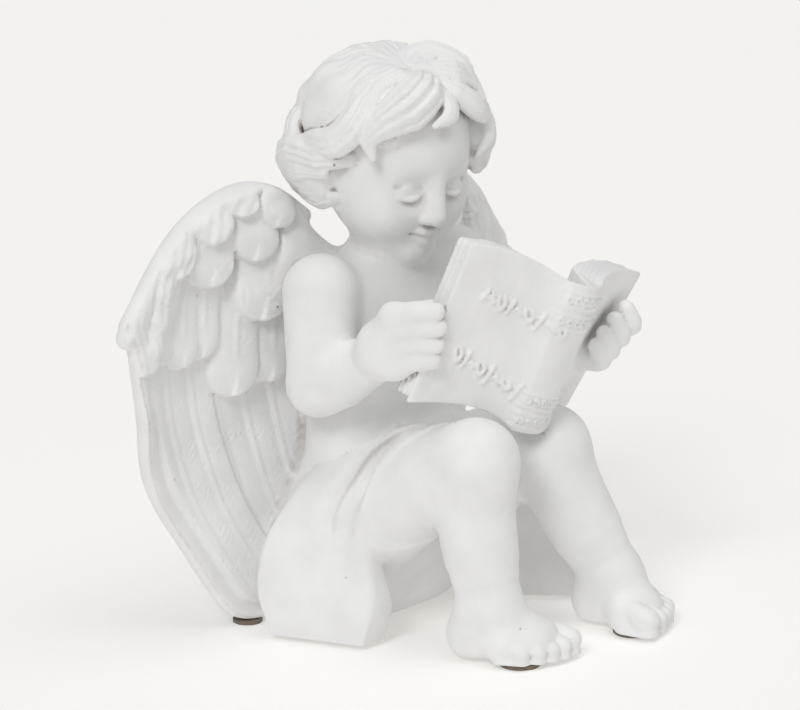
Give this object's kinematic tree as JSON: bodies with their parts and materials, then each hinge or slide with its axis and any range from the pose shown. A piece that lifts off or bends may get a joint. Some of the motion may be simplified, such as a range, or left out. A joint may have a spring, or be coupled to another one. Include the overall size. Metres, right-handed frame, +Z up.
{
  "type": "angel figurine",
  "caption": "Seated winged cherub reading an open book held on its raised knees, cast in one piece with carved hair, feathers and drapery, on thin glued felt pads.",
  "frame": {"origin": "on the surface it stands on, under the middle of its bounding box", "axes": "+Z up; the figure faces -Y; +X is the figure's own left"},
  "size_m": [0.2324, 0.156, 0.2299],
  "materials": {
    "casting": "matt white cast resin and stone powder",
    "felt": "thin brown felt"
  },
  "bodies": {
    "root": {"angel_casting": "casting", "pad_right_foot": "felt", "pad_left_foot": "felt", "pad_right_wing": "felt", "pad_left_wing": "felt"}
  },
  "joints": []
}
